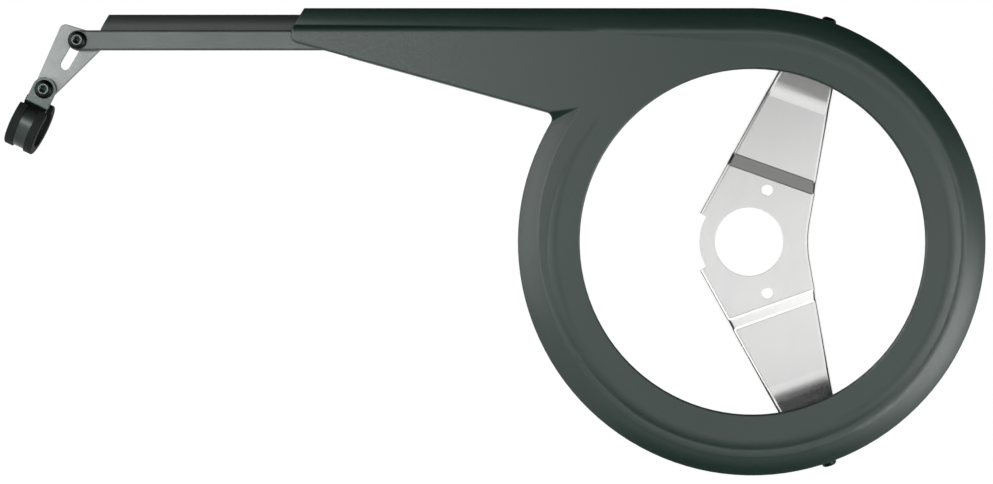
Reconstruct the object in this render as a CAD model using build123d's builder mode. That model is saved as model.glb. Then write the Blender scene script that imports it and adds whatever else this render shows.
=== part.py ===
from build123d import *
import os
from math import atan2, cos, hypot, radians, sin, sqrt, tan

# Bicycle chain guard, in millimetres.
# X points to the front of the bike, Z up and -Y outboard, away from the bike.
# The origin lies on the crank axle, in the face of the bracket that seats on the frame.
# "Out" is the distance outboard of that face, so out = -Y.

os.makedirs("parts", exist_ok=True)

# Ring of the guard
RING_R = 118.0
OPENING_R = 87.0
BEVEL_WIDTH = 11.0
DISH_OFFSET = 1.0
FACE_OUT = 22.0
RIDGE_RISE = 1.5
RIM_OUT = 17.0
WALL_BACK = -6.0
WALL = 2.2
BEVEL_BULGE = 0.35
DISH_SAG = 0.3
EDGE_R = 0.9
RIDGE_ROUND = 2.4
RING_SWEEP = 313.0
RIDGE_FADE_HIGH = 64.0
RIDGE_FADE_LOW = -62.0

# Rear arm of the guard
ARM_END_X = -232.2
ARM_END_SLANT = 6.2
ARM_END_DROP = 11.5
ARM_HEEL_INSET = 13.6
ARM_HEEL_DROP = 20.8
ARM_SLOPE = 15.5
ARM_ROOT_R = 3.5
ARM_END_R = 3.5
ARM_COVER_ANGLE = 142.4
ARM_COVER_INSET = 7.55
ARM_LIP = 8.0
ARM_LIP_INSET = 28.2
SHOULDER_R = 4.0

# Hooks inside the arm that hold the sliding stay
HOOK_INSET = 36.2
HOOK_PITCH = 36.0
HOOK_LENGTH = 8.0
HOOK_WALL = 2.0
HOOK_FOOT = 4.0
HOOK_REACH = 1.4
HOOK_GAP = 0.3

# Sliding stay: bar and extension
BAR_HEIGHT = 10.2
BAR_THICKNESS = 2.5
BAR_DROP = 16.4
BAR_EDGE_R = 1.2
STAY_INNER_X = -130.0
STAY_CLEARANCE = 0.3
PIVOT_X = -340.1
EXT_TOP_DROP = 3.2
EXT_FRONT_HEIGHT = 5.7
EXT_FRONT_DEPTH = 1.4
EXT_WALL = 1.8
EXT_DEPTH = 19.0
EXT_WEB_RISE = 0.9
EXT_END_GAP = 11.4
EXT_END_SLANT = 4.0
EXT_END_LOW_DROP = 7.4
EXT_TOP_GAP = 27.1
EXT_EDGE_R = 0.5
SLEEVE_GAP = 0.4
RIVET_INSET = 12.0
RIVET_PITCH = 63.0
RIVET_R = 1.6
RIVET_HEAD_R = 3.0
RIVET_SINK = 1.0
RIVET_TAIL = 0.9

# Slotted link plate
LINK_THICKNESS = 2.5
LINK_ANGLE = 60.0
LINK_REACH = 29.9
LINK_SIDESTEP = 2.7
LINK_LEFT_TOP = 3.6
LINK_LEFT = 12.0
LINK_RIGHT_TOP = 9.7
LINK_RIGHT = 13.9
LINK_CORNER_R = 3.2
LINK_END_R = 5.6
LINK_EDGE_R = 0.4
SLOT_TRAVEL = 14.0
LINK_CLEARANCE = 0.8
SPACER_R = 5.0

# Bolts of the link and the clamp
BOLT_R = 2.5
BOLT_HEAD_R = 4.75
BOLT_HEAD_HEIGHT = 2.75
BOLT_SOCKET = 3.0
BOLT_SOCKET_DEPTH = 1.6
BOLT_TAIL = 1.6
NUT_FLATS = 8.0
NUT_HEIGHT = 4.0
WASHER_R = 5.0
WASHER_THICKNESS = 1.0
THREAD_GAP = 0.05
THREAD_POINT = 0.2
HEAD_ROUND = 0.8
HEX_SIDES = 6
HOLE_GAP = 0.25
PIVOT_GAP = 0.08

# Clamp for the frame tube
TUBE_R = 9.5
LINER_WALL = 2.0
LINER_LENGTH = 15.0
LINER_LIP = 0.9
LINER_GROOVE = 6.4
LINER_END_GAP = 2.0
LINER_EDGE_R = 0.7
LINER_GAP = 0.05
STRAP_WIDTH = 12.0
STRAP_THICKNESS = 1.2
STRAP_BEND_R = 2.2
STRAP_FRONT_LEAVE = 48.0
STRAP_BACK_LEAVE = 8.0
FULL_TURN = 360.0
EAR_GAP = 0.15
EAR_SETBACK = 5.0
EAR_NECK = 5.7
EAR_END_R = 6.0
CLAMP_ANGLE = 64.0

# Bracket on the bottom bracket shell
SHEET = 1.5
BORE_R = 17.5
HUB_R = 25.3
SPREAD = 70.5
ROOT_U = 5.5
ROOT_HALF_WIDTH = 28.9
TIP_U = 86.5
TIP_HALF_WIDTH = 15.4
HUB_KINK_R = 60.0
JOGGLE_U = 34.0
JOGGLE_RUN = 5.8
JOGGLE_DROP = 3.0
JOGGLE_R = 3.0
SWEEP_RUN = 41.1
SWEEP_R = 52.0
SWEEP_ANGLE = 9.8
TAB_R = 4.0
TAB_END_OUT = 15.4
FLANGE = 5.0
FLANGE_R = 2.2
FLANGE_END_GAP = 17.1
SMALL_HOLE_U = 27.8
SMALL_HOLE_R = 2.95

# Screws through the rim
RIM_SCREW_OUT = 12.0
RIM_SCREW_R = 2.0
RIM_HEAD_R = 3.8
RIM_HEAD_HEIGHT = 2.3
RIM_SOCKET = 2.5
RIM_SOCKET_DEPTH = 1.3
RIM_SCREW_LENGTH = 9.0
RIM_NUT_FLATS = 7.0
RIM_NUT_HEIGHT = 3.2
SEAT_PAD = 0.7
SEAT_PAD_WIDTH = 20.0
SEAT_PAD_HEIGHT = 9.0

# Levels and places that follow from the sizes above
RIDGE_R = RING_R - BEVEL_WIDTH
DISH_R = (OPENING_R + RIDGE_R) / 2 + DISH_OFFSET
ARM_END_TOP_X = ARM_END_X + ARM_END_SLANT
ARM_HEEL_X = ARM_END_X + ARM_HEEL_INSET
ARM_HEEL_Z = RING_R - ARM_HEEL_DROP
ARM_LIP_END_X = ARM_END_X + ARM_LIP_INSET
ARM_COVER_X = (RING_R - ARM_COVER_INSET) * cos(radians(ARM_COVER_ANGLE))
ARM_COVER_Z = (RING_R - ARM_COVER_INSET) * sin(radians(ARM_COVER_ANGLE))
HOOK_XS = (ARM_END_X + HOOK_INSET, ARM_END_X + HOOK_INSET + HOOK_PITCH)
RIVET_XS = (STAY_INNER_X - RIVET_INSET - RIVET_PITCH, STAY_INNER_X - RIVET_INSET)
EXT_END_LOW_X = PIVOT_X + EXT_END_GAP
EXT_END_TOP_X = EXT_END_LOW_X + EXT_END_SLANT
EXT_TONGUE_X = PIVOT_X + EXT_TOP_GAP
RIDGE_OUT = FACE_OUT + RIDGE_RISE
PANEL_INNER = FACE_OUT - WALL
BAR_FRONT = PANEL_INNER - STAY_CLEARANCE
BAR_BACK = BAR_FRONT - BAR_THICKNESS
BAR_Z = RING_R - BAR_DROP
BAR_TOP = BAR_Z + BAR_HEIGHT / 2
BAR_LOW = BAR_Z - BAR_HEIGHT / 2
WEB_BACK = BAR_BACK - EXT_WALL
EXT_TOP = RING_R - EXT_TOP_DROP
CREST_Z = EXT_TOP - EXT_FRONT_HEIGHT
SHOULDER_Z = BAR_TOP - BAR_EDGE_R
SHOULDER_OUT = FACE_OUT - SHOULDER_R
SPACER_THICKNESS = EXT_WALL + LINK_CLEARANCE
LINK_FRONT = BAR_BACK - SPACER_THICKNESS
LINK_BACK = LINK_FRONT - LINK_THICKNESS
PAD_U = RING_R - WALL - SEAT_PAD
SWEEP_U = PAD_U - SWEEP_RUN
FLANGE_END_U = PAD_U - FLANGE_END_GAP
STRAP_INNER_R = TUBE_R + LINER_WALL
STRAP_OUTER_R = STRAP_INNER_R + STRAP_THICKNESS
LIP_R = STRAP_OUTER_R + LINER_LIP
EAR_REACH = LIP_R + EAR_NECK
EAR_FRONT = LINK_FRONT + EAR_GAP + 2 * STRAP_THICKNESS
TUBE_OUT = EAR_FRONT + EAR_SETBACK - STRAP_OUTER_R
STRAP_SWEEP = FULL_TURN - STRAP_FRONT_LEAVE + STRAP_BACK_LEAVE


def out_plane(out: float) -> Plane:
    """Plane facing outboard at a given distance out, with X across and Z up."""
    return Plane.XZ.offset(out)


def section_plane(x: float) -> Plane:
    """Plane across the bike at a given X, with Z across and out upward."""
    return Plane(origin=(x, 0, 0), x_dir=(0, 0, 1), z_dir=(1, 0, 0))


# The extension's rounded front is an arc that ends upright at its crest.
front_turn = 2 * atan2(EXT_FRONT_DEPTH, EXT_FRONT_HEIGHT)
front_r = EXT_FRONT_HEIGHT / sin(front_turn)
front_centre_out = BAR_BACK - front_r

# The inside of the bevel runs parallel to its outside, one wall away.
bevel_tilt = atan2(RIDGE_OUT - RIM_OUT, RING_R - RIDGE_R)
inner_rim_r = RING_R - WALL
inner_rim_out = RIM_OUT + WALL * tan(bevel_tilt) - WALL / cos(bevel_tilt)
inner_ridge_r = inner_rim_r - (PANEL_INNER - inner_rim_out) / tan(bevel_tilt)


def bevel_mid(r1: float, out1: float, r2: float, out2: float, bulge: float) -> tuple[float, float]:
    """Middle point of a slope that bulges outward by a given amount."""
    run = r2 - r1
    rise = out2 - out1
    length = hypot(run, rise)
    return ((r1 + r2) / 2 + bulge * rise / length, (out1 + out2) / 2 - bulge * run / length)


def toward(start: tuple[float, float], end: tuple[float, float], distance: float) -> tuple[float, float]:
    """Point at a given distance from one point toward another."""
    share = distance / hypot(end[0] - start[0], end[1] - start[1])
    return (start[0] + (end[0] - start[0]) * share, start[1] + (end[1] - start[1]) * share)


def strip_front(radius: float, top_z: float) -> list[tuple[float, float]]:
    """Points of the rounded front that a strip takes at the arm's rear end.

    Args:
        radius: Radius of the front about its centre.
        top_z: Height where the front meets the top.

    Returns:
        Five places in Z and out, evenly spaced from the top to the crest.
    """
    reach = (top_z - CREST_Z) / radius
    turn = atan2(reach, sqrt(1 - reach * reach))
    steps = [turn * step / 4 for step in range(4, -1, -1)]
    return [(CREST_Z + radius * sin(step), front_centre_out + radius * cos(step)) for step in steps]


# Plan of the arm: straight top, slanted and rounded rear end, sloping lower edge.
slope = radians(ARM_SLOPE)
end_low_z = RING_R - ARM_END_DROP


def lower_edge_z(x: float) -> float:
    """Height of the arm's sloping lower edge at a given X."""
    return ARM_HEEL_Z - (x - ARM_HEEL_X) * tan(slope)


# The root fillet touches the lower edge from below and the ring from outside.
root_level = ARM_HEEL_Z * cos(slope) + ARM_HEEL_X * sin(slope) - ARM_ROOT_R
root_span = sqrt((RING_R + ARM_ROOT_R) ** 2 - root_level**2)
root_x = root_level * sin(slope) - root_span * cos(slope)
root_z = root_level * cos(slope) + root_span * sin(slope)
root_on_edge = (root_x + ARM_ROOT_R * sin(slope), root_z + ARM_ROOT_R * cos(slope))
root_shrink = RING_R / (RING_R + ARM_ROOT_R)
root_on_ring = (root_x * root_shrink, root_z * root_shrink)
root_turn = (
    (root_on_edge[0] + root_on_ring[0]) / 2 - root_x,
    (root_on_edge[1] + root_on_ring[1]) / 2 - root_z,
)
root_scale = ARM_ROOT_R / hypot(*root_turn)
root_mid = (root_x + root_turn[0] * root_scale, root_z + root_turn[1] * root_scale)


def lip_z(x: float) -> float:
    """Height of the inside of the arm's lower lip at a given X."""
    return lower_edge_z(x) + WALL / cos(slope)


def rim_plane(side: int, u: float) -> Plane:
    """Plane across a rim screw's axis at distance u from the crank axle, facing outward."""
    across = cos(radians(SPREAD))
    along = side * sin(radians(SPREAD))
    return Plane(
        origin=(u * across, -RIM_SCREW_OUT, u * along),
        x_dir=(-along, 0, across),
        z_dir=(across, 0, along),
    )


def ring_front() -> None:
    """Draw the bevel, the rounded ridge and the dished shoulder, from the rim to the flat face."""
    bevel_end = toward((RIDGE_R, RIDGE_OUT), (RING_R, RIM_OUT), RIDGE_ROUND)
    dish_start = toward((RIDGE_R, RIDGE_OUT), (DISH_R, FACE_OUT), RIDGE_ROUND)
    chord_mid = bevel_mid(*bevel_end, *dish_start, 0)
    ThreePointArc((RING_R, RIM_OUT), bevel_mid(RING_R, RIM_OUT, *bevel_end, BEVEL_BULGE), bevel_end)
    ThreePointArc(bevel_end, bevel_mid(*chord_mid, RIDGE_R, RIDGE_OUT, 0), dish_start)
    ThreePointArc(dish_start, bevel_mid(*dish_start, DISH_R, FACE_OUT, -DISH_SAG), (DISH_R, FACE_OUT))


def panel_outline(front: float, radius: float, back: float) -> None:
    """Draw the section of the flat panel, with a rounded shoulder along its top."""
    Polyline(
        (SHOULDER_Z, front),
        (0, front),
        (0, back),
        (SHOULDER_Z + radius, back),
        (SHOULDER_Z + radius, SHOULDER_OUT),
    )
    TangentArc((SHOULDER_Z + radius, SHOULDER_OUT), (SHOULDER_Z, front), tangent=(0, 1))


# Outer form of the ring, swept from the top round to the root of the arm.
fade = RIDGE_RISE / (RIDGE_FADE_HIGH - RIDGE_FADE_LOW)
with BuildPart() as ring_form:
    with BuildSketch(section_plane(0)):
        with BuildLine():
            Polyline((0, FACE_OUT), (0, WALL_BACK), (RING_R, WALL_BACK), (RING_R, RIM_OUT))
            ring_front()
            Line((DISH_R, FACE_OUT), (0, FACE_OUT))
        make_face()
    revolve(axis=Axis.Y, revolution_arc=RING_SWEEP)
    # The ridge fades away toward the root of the arm.
    with BuildSketch(section_plane(-RING_R - RIDGE_R)):
        with BuildLine():
            Polyline(
                (RING_R, FACE_OUT - (RING_R - RIDGE_FADE_HIGH) * fade),
                (-RING_R, FACE_OUT + (RING_R + RIDGE_FADE_HIGH) * fade),
                (-RING_R, RIDGE_OUT + RING_R),
                (RING_R, RIDGE_OUT + RING_R),
                close=True,
            )
        make_face()
    extrude(amount=RING_R + RIDGE_R - OPENING_R / 2, mode=Mode.SUBTRACT)

# Slope at the root of the arm: from the face at the end of the bevel down to the rim.
slope_top = Vector(ARM_COVER_X, -FACE_OUT, ARM_COVER_Z)
slope_side = Vector(root_on_edge[0], -FACE_OUT, root_on_edge[1])
slope_foot = Vector(root_on_ring[0], -RIM_OUT, root_on_ring[1])
slope_corners = [slope_top, slope_side, slope_foot]
root_slope = Plane(
    origin=slope_top,
    x_dir=slope_side - slope_top,
    z_dir=(slope_foot - slope_top).cross(slope_side - slope_top),
)


def slope_corner(corner: Vector) -> tuple[float, float]:
    """A corner of the slope, in the slope's own plane."""
    local = root_slope.to_local_coords(corner)
    return (local.X, local.Y)


# Outer form of the arm: a strip along the top that runs from the ring's section
# to the sleeve round the extension, and a flat panel below it.
rear = strip_front(front_r + SLEEVE_GAP + WALL, RING_R)
with BuildPart() as arm_form:
    with BuildSketch(section_plane(0)):
        with BuildLine():
            Polyline((DISH_R, FACE_OUT), (DISH_R, WALL_BACK), (RING_R, WALL_BACK), (RING_R, RIM_OUT))
            ring_front()
        make_face()
    with BuildSketch(section_plane(ARM_END_X)):
        with BuildLine():
            Polyline((DISH_R, rear[-1][1]), (DISH_R, WALL_BACK), (RING_R, WALL_BACK), rear[0])
            ThreePointArc(*rear[:3])
            ThreePointArc(*rear[2:])
            Line(rear[-1], (DISH_R, rear[-1][1]))
        make_face()
    loft()
    with BuildSketch(section_plane(ARM_END_X)):
        with BuildLine():
            panel_outline(FACE_OUT, SHOULDER_R, WALL_BACK)
        make_face()
    extrude(amount=-ARM_END_X)
    with BuildSketch(out_plane(WALL_BACK)):
        with BuildLine():
            Polyline(
                (ARM_COVER_X, ARM_COVER_Z),
                (0, 0),
                (0, RING_R),
                (ARM_END_TOP_X, RING_R),
                (ARM_END_X, end_low_z),
            )
            FilletPolyline(
                (ARM_END_X, end_low_z),
                (ARM_END_X, lower_edge_z(ARM_END_X)),
                root_on_edge,
                radius=ARM_END_R,
            )
            ThreePointArc(root_on_edge, root_mid, root_on_ring)
            Line(root_on_ring, (ARM_COVER_X, ARM_COVER_Z))
        make_face()
    extrude(amount=RIDGE_OUT - WALL_BACK, mode=Mode.INTERSECT)
    # The panel slopes down to the end of the bevel, from its face to the rim.
    with BuildSketch(root_slope):
        with BuildLine():
            Polyline(*[slope_corner(corner) for corner in slope_corners], close=True)
        make_face()
    extrude(amount=RING_R, dir=(0, -1, 0), mode=Mode.SUBTRACT)
    # The panel's lower edge and its rear end are rounded.
    face_edges = arm_form.faces().filter_by(Axis.Y).sort_by(Axis.Y)[0].outer_wire().edges()
    fillet(
        face_edges.filter_by(lambda e: (e @ 0.5).X < root_on_edge[0] and (e @ 0.5).Z < SHOULDER_Z - THREAD_GAP),
        EDGE_R,
    )

# Cavity behind the arm, open to the rear, where the stay slides and the chain runs.
cavity_back = WALL_BACK - WALL
cavity_end_x = ARM_END_X - SHOULDER_R
inner = strip_front(front_r + SLEEVE_GAP, inner_rim_r)
with BuildPart() as arm_cavity:
    with BuildSketch(section_plane(cavity_end_x)):
        with BuildLine():
            panel_outline(PANEL_INNER, SHOULDER_R - WALL, cavity_back)
        make_face()
    extrude(amount=-cavity_end_x)
    with BuildSketch(out_plane(cavity_back)):
        with BuildLine():
            Polyline(
                (0, 0),
                (0, RING_R),
                (cavity_end_x, RING_R),
                (cavity_end_x, OPENING_R),
                (ARM_LIP_END_X, OPENING_R),
                (ARM_LIP_END_X, lip_z(ARM_LIP_END_X)),
                (-OPENING_R, lip_z(-OPENING_R)),
                close=True,
            )
        make_face()
    extrude(amount=RIDGE_OUT - cavity_back, mode=Mode.INTERSECT)

with BuildPart() as strip_cavity:
    with BuildSketch(section_plane(0)):
        with BuildLine():
            Polyline(
                (DISH_R, PANEL_INNER),
                (DISH_R, cavity_back),
                (inner_rim_r, cavity_back),
                (inner_rim_r, inner_rim_out),
            )
            ThreePointArc(
                (inner_rim_r, inner_rim_out),
                bevel_mid(inner_rim_r, inner_rim_out, inner_ridge_r, PANEL_INNER, BEVEL_BULGE),
                (inner_ridge_r, PANEL_INNER),
            )
            Line((inner_ridge_r, PANEL_INNER), (DISH_R, PANEL_INNER))
        make_face()
    with BuildSketch(section_plane(ARM_END_X)) as sleeve:
        with BuildLine():
            Polyline((DISH_R, inner[-1][1]), (DISH_R, cavity_back), (inner_rim_r, cavity_back), inner[0])
            ThreePointArc(inner[0], inner[2], inner[-1])
            Line(inner[-1], (DISH_R, inner[-1][1]))
        make_face()
    loft()
    extrude(sleeve.sketch, amount=cavity_end_x - ARM_END_X)

with BuildPart() as guard_shell:
    add(ring_form.part)
    add(arm_form.part)
    with BuildSketch(section_plane(0)):
        with BuildLine():
            Polyline(
                (0, PANEL_INNER),
                (0, cavity_back),
                (inner_rim_r, cavity_back),
                (inner_rim_r, inner_rim_out),
                (inner_ridge_r, PANEL_INNER),
                close=True,
            )
        make_face()
    revolve(axis=Axis.Y, mode=Mode.SUBTRACT)
    add(arm_cavity.part, mode=Mode.SUBTRACT)
    add(strip_cavity.part, mode=Mode.SUBTRACT)
    # Behind a short lip the arm is open below for the chain.
    with BuildSketch(out_plane(FACE_OUT - ARM_LIP)):
        with BuildLine():
            Polyline(
                (ARM_LIP_END_X - WALL, lip_z(ARM_LIP_END_X - WALL)),
                (ARM_LIP_END_X - WALL, 0),
                (-OPENING_R, 0),
                (-OPENING_R, lip_z(-OPENING_R)),
                close=True,
            )
        make_face()
        Circle(RING_R, mode=Mode.SUBTRACT)
    extrude(amount=cavity_back - FACE_OUT + ARM_LIP, mode=Mode.SUBTRACT)
    # Hooks that hold the bar and the web of the extension against the panel.
    for hook_x in HOOK_XS:
        with BuildSketch(section_plane(hook_x)):
            with BuildLine():
                Polyline(
                    (BAR_LOW - HOOK_GAP, PANEL_INNER),
                    (BAR_LOW - HOOK_GAP, WEB_BACK - HOOK_GAP),
                    (BAR_LOW + HOOK_REACH, WEB_BACK - HOOK_GAP),
                    (BAR_LOW + HOOK_REACH, WEB_BACK - HOOK_GAP - HOOK_WALL),
                    (BAR_LOW - HOOK_GAP - HOOK_FOOT, WEB_BACK - HOOK_GAP - HOOK_WALL),
                    (BAR_LOW - HOOK_GAP - HOOK_FOOT, PANEL_INNER),
                    close=True,
                )
            make_face()
        extrude(amount=HOOK_LENGTH / 2, both=True)
    # Flat seats inside the rim for the bracket's tabs, with a screw hole through each.
    for side in (1, -1):
        with BuildSketch(rim_plane(side, PAD_U)):
            Rectangle(SEAT_PAD_WIDTH, SEAT_PAD_HEIGHT)
        extrude(amount=SEAT_PAD + WALL / 2)
        with BuildSketch(rim_plane(side, PAD_U)):
            Circle(RIM_SCREW_R + HOLE_GAP)
        extrude(amount=SEAT_PAD + 2 * WALL, mode=Mode.SUBTRACT)
    with BuildSketch(out_plane(cavity_back)):
        Circle(OPENING_R)
    extrude(amount=RIDGE_OUT - cavity_back + WALL, mode=Mode.SUBTRACT)
    opening_edge = guard_shell.edges().filter_by(GeomType.CIRCLE).filter_by(
        lambda e: abs(e.radius - OPENING_R) < THREAD_GAP and abs(e.center().Y + FACE_OUT) < THREAD_GAP
    )
    fillet(opening_edge, EDGE_R)
guard_shell.part.label = "guard_shell"
export_step(guard_shell.part, "parts/guard_shell.step")

# Sliding bar, with a round end about the link bolt.
with BuildPart() as stay_bar:
    with BuildSketch(out_plane(BAR_BACK)):
        with BuildLine():
            Polyline(
                (PIVOT_X, BAR_TOP), (STAY_INNER_X, BAR_TOP), (STAY_INNER_X, BAR_LOW), (PIVOT_X, BAR_LOW)
            )
            ThreePointArc((PIVOT_X, BAR_LOW), (PIVOT_X - BAR_HEIGHT / 2, BAR_Z), (PIVOT_X, BAR_TOP))
        make_face()
        with Locations((PIVOT_X, BAR_Z)):
            Circle(BOLT_R + PIVOT_GAP, mode=Mode.SUBTRACT)
        with Locations(*[(x, BAR_Z) for x in RIVET_XS]):
            Circle(RIVET_R + THREAD_GAP, mode=Mode.SUBTRACT)
    extrude(amount=BAR_THICKNESS)
    with BuildSketch(out_plane(BAR_FRONT)):
        with Locations(*[(x, BAR_Z) for x in RIVET_XS]):
            Circle(RIVET_HEAD_R + THREAD_GAP)
    extrude(amount=-RIVET_SINK, mode=Mode.SUBTRACT)
    rim = stay_bar.faces().filter_by(Axis.Y).sort_by(Axis.Y)
    fillet((rim[0].outer_wire().edges() + rim[-1].outer_wire().edges()), BAR_EDGE_R)
stay_bar.part.label = "stay_bar"
export_step(stay_bar.part, "parts/stay_bar.step")

# Rounded channel over the chain, with the bar on the front of its web.
front = strip_front(front_r, EXT_TOP)
with BuildPart() as stay_extension:
    with BuildSketch(section_plane(EXT_END_LOW_X)):
        with BuildLine():
            Polyline(
                front[-1],
                (BAR_LOW + EXT_WEB_RISE, BAR_BACK),
                (BAR_LOW + EXT_WEB_RISE, WEB_BACK),
                (EXT_TOP - EXT_WALL, WEB_BACK),
                (EXT_TOP - EXT_WALL, BAR_BACK - EXT_DEPTH),
                (EXT_TOP, BAR_BACK - EXT_DEPTH),
                front[0],
            )
            ThreePointArc(front[0], front[2], front[-1])
        make_face()
    extrude(amount=STAY_INNER_X - EXT_END_LOW_X)
    fillet(
        stay_extension.edges().filter_by(Axis.X).sort_by(Axis.Z)[-2:],
        EXT_EDGE_R,
    )
    with BuildSketch(out_plane(BAR_BACK - EXT_DEPTH)):
        with BuildLine():
            Polyline(
                (EXT_END_TOP_X, EXT_TOP),
                (EXT_END_LOW_X, EXT_TOP - EXT_END_LOW_DROP),
                (EXT_END_LOW_X, BAR_LOW),
                (PIVOT_X, BAR_LOW),
                (PIVOT_X, EXT_TOP),
                close=True,
            )
        make_face()
    extrude(amount=EXT_DEPTH, mode=Mode.SUBTRACT)
    # The top wall stops short, clear of the swing of the link plate.
    with BuildSketch(out_plane(BAR_BACK - EXT_DEPTH)):
        with BuildLine():
            Polyline(
                (PIVOT_X, BAR_LOW),
                (EXT_TONGUE_X, BAR_LOW),
                (EXT_TONGUE_X, EXT_TOP),
                (PIVOT_X, EXT_TOP),
                close=True,
            )
        make_face()
    extrude(amount=EXT_DEPTH - EXT_WALL, mode=Mode.SUBTRACT)
    with BuildSketch(out_plane(WEB_BACK)):
        with Locations(*[(x, BAR_Z) for x in RIVET_XS]):
            Circle(RIVET_R + THREAD_GAP)
    extrude(amount=EXT_WALL, mode=Mode.SUBTRACT)
stay_extension.part.label = "stay_extension"
export_step(stay_extension.part, "parts/stay_extension.step")

with BuildPart() as stay_rivets:
    with BuildSketch(out_plane(WEB_BACK - RIVET_TAIL)):
        with Locations(*[(x, BAR_Z) for x in RIVET_XS]):
            Circle(RIVET_HEAD_R)
    extrude(amount=RIVET_TAIL)
    with BuildSketch(out_plane(WEB_BACK)):
        with Locations(*[(x, BAR_Z) for x in RIVET_XS]):
            Circle(RIVET_R)
    extrude(amount=BAR_FRONT - WEB_BACK)
    with BuildSketch(out_plane(BAR_FRONT - RIVET_SINK)):
        with Locations(*[(x, BAR_Z) for x in RIVET_XS]):
            Circle(RIVET_HEAD_R)
    extrude(amount=RIVET_SINK)
stay_rivets.part.label = "stay_rivets"
export_step(stay_rivets.part, "parts/stay_rivets.step")


def link_point(along: float, across: float) -> tuple[float, float]:
    """Place in X and Z from the link bolt, along the slot and square to it."""
    turn = radians(LINK_ANGLE)
    return (
        PIVOT_X + along * cos(turn) + across * sin(turn),
        BAR_Z + along * sin(turn) - across * cos(turn),
    )


clamp_x, clamp_z = link_point(-LINK_REACH, -LINK_SIDESTEP)

# Plate that hangs on the link bolt by its slot and carries the clamp.
with BuildPart() as link_plate:
    with BuildSketch(out_plane(LINK_BACK)):
        with BuildLine():
            FilletPolyline(
                link_point(-LINK_REACH, -LINK_END_R - LINK_SIDESTEP),
                link_point(LINK_LEFT_TOP, -LINK_LEFT),
                link_point(LINK_RIGHT_TOP, LINK_RIGHT),
                link_point(-LINK_REACH, LINK_END_R - LINK_SIDESTEP),
                radius=LINK_CORNER_R,
            )
            Line(
                link_point(-LINK_REACH, LINK_END_R - LINK_SIDESTEP),
                link_point(-LINK_REACH, -LINK_END_R - LINK_SIDESTEP),
            )
        make_face()
        with Locations((clamp_x, clamp_z)):
            Circle(LINK_END_R)
            Circle(BOLT_R + PIVOT_GAP, mode=Mode.SUBTRACT)
        with Locations(link_point(-SLOT_TRAVEL / 2, 0)):
            SlotCenterToCenter(
                SLOT_TRAVEL, 2 * (BOLT_R + PIVOT_GAP), rotation=LINK_ANGLE, mode=Mode.SUBTRACT
            )
    extrude(amount=LINK_THICKNESS)
    fillet(link_plate.faces().filter_by(Axis.Y).sort_by(Axis.Y)[0].outer_wire().edges(), LINK_EDGE_R)
link_plate.part.label = "link_plate"
export_step(link_plate.part, "parts/link_plate.step")


def place(x: float, z: float, out: float) -> Plane:
    """Plane facing outboard, centred on a bolt's axis."""
    return Plane(origin=(x, -out, z), x_dir=(1, 0, 0), z_dir=(0, -1, 0))


def button_screw(
    seat: Plane, r: float, head: tuple[float, float], socket: tuple[float, float], length: float
) -> Part:
    """Button head screw with a hex socket, its head standing on the seat plane.

    Args:
        seat: Plane under the head, facing along the head.
        r: Radius of the thread.
        head: Radius and height of the head.
        socket: Width across flats and depth of the socket.
        length: Length under the head.

    Returns:
        The screw.
    """
    head_r, head_height = head
    flats, depth = socket
    axis = Axis(seat.origin, seat.z_dir)
    with BuildPart() as screw:
        with BuildSketch(seat):
            Circle(head_r)
        extrude(amount=head_height)
        fillet(screw.edges().filter_by(GeomType.CIRCLE).sort_by(axis)[-1], head_height * HEAD_ROUND)
        with BuildSketch(seat):
            Circle(r)
        extrude(amount=-length)
        chamfer(screw.edges().filter_by(GeomType.CIRCLE).sort_by(axis)[0], r * THREAD_POINT)
        with BuildSketch(seat.offset(head_height)):
            RegularPolygon(flats / 2, HEX_SIDES, major_radius=False)
        extrude(amount=-depth, mode=Mode.SUBTRACT)
    return screw.part


def hex_nut(seat: Plane, r: float, flats: float, height: float) -> Part:
    """Hex nut that presses on the back of a seat plane.

    Args:
        seat: Plane that the nut presses on, facing away from the nut.
        r: Radius of the thread.
        flats: Width across flats.
        height: Height of the nut.

    Returns:
        The nut.
    """
    with BuildPart() as nut:
        with BuildSketch(seat):
            RegularPolygon(flats / 2, HEX_SIDES, major_radius=False)
            Circle(r + THREAD_GAP, mode=Mode.SUBTRACT)
        extrude(amount=-height)
    return nut.part


def washer(seat: Plane, r: float, outer_r: float, thickness: float) -> Part:
    """Flat ring on the back of a seat plane."""
    with BuildPart() as ring:
        with BuildSketch(seat):
            Circle(outer_r)
            Circle(r + THREAD_GAP, mode=Mode.SUBTRACT)
        extrude(amount=-thickness)
    return ring.part


bolt_head = (BOLT_HEAD_R, BOLT_HEAD_HEIGHT)
bolt_socket = (BOLT_SOCKET, BOLT_SOCKET_DEPTH)
nut_seat = LINK_BACK - WASHER_THICKNESS
bolt_end = nut_seat - NUT_HEIGHT - BOLT_TAIL

# Fasteners of the link, from the bar's front to the nut behind the plate.
with BuildPart() as link_bolt:
    add(button_screw(place(PIVOT_X, BAR_Z, BAR_FRONT), BOLT_R, bolt_head, bolt_socket, BAR_FRONT - bolt_end))
link_bolt.part.label = "link_bolt"
export_step(link_bolt.part, "parts/link_bolt.step")

with BuildPart() as link_spacer:
    add(washer(place(PIVOT_X, BAR_Z, BAR_BACK), BOLT_R, SPACER_R, SPACER_THICKNESS))
link_spacer.part.label = "link_spacer"
export_step(link_spacer.part, "parts/link_spacer.step")

with BuildPart() as link_washer:
    add(washer(place(PIVOT_X, BAR_Z, LINK_BACK), BOLT_R, WASHER_R, WASHER_THICKNESS))
link_washer.part.label = "link_washer"
export_step(link_washer.part, "parts/link_washer.step")

with BuildPart() as link_nut:
    add(hex_nut(place(PIVOT_X, BAR_Z, nut_seat), BOLT_R, NUT_FLATS, NUT_HEIGHT))
link_nut.part.label = "link_nut"
export_step(link_nut.part, "parts/link_nut.step")

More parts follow.
